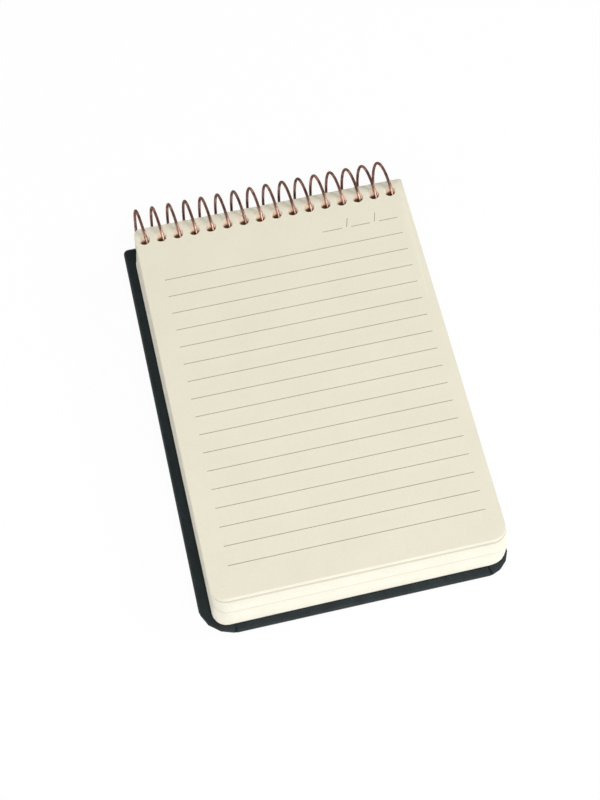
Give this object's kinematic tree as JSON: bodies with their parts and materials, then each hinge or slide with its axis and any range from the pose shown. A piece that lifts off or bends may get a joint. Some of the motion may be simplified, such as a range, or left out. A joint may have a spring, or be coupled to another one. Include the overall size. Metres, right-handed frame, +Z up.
{
  "type": "reporter notebook",
  "caption": "Pocket notebook bound at its head by a copper coloured wire coil, open at a ruled sheet with its front cover folded under.",
  "frame": {"origin": "on the surface it lies on, under the middle of its outline", "axes": "+X to the reader's right, +Y towards the coil at the head, +Z up out of the ruled sheet"},
  "size_m": [0.1106, 0.1692, 0.0231],
  "materials": {
    "paper": "matt cream",
    "cover_cloth": "board wrapped in fine dark slate cloth",
    "coil_wire": "copper plated, smooth"
  },
  "bodies": {
    "book": {"pages": "paper", "back_cover": "cover_cloth"},
    "coil": {"coil": "coil_wire"},
    "front_cover": {"front_cover": "cover_cloth"}
  },
  "joints": [
    {"name": "front_cover_swing", "type": "hinge", "parent": "book", "child": "front_cover", "pos_m": [0, 0.07305, 0.01155], "axis": [1, 0, 0], "range_deg": [0, 180]},
    {"name": "coil_shift", "type": "slide", "parent": "book", "child": "coil", "axis": [1, 0, 0], "range_m": [-0.00221, 0]}
  ],
  "couplings": [
    {"joint": "coil_shift", "follows": "front_cover_swing", "m_per_rad": -0.00070028}
  ]
}
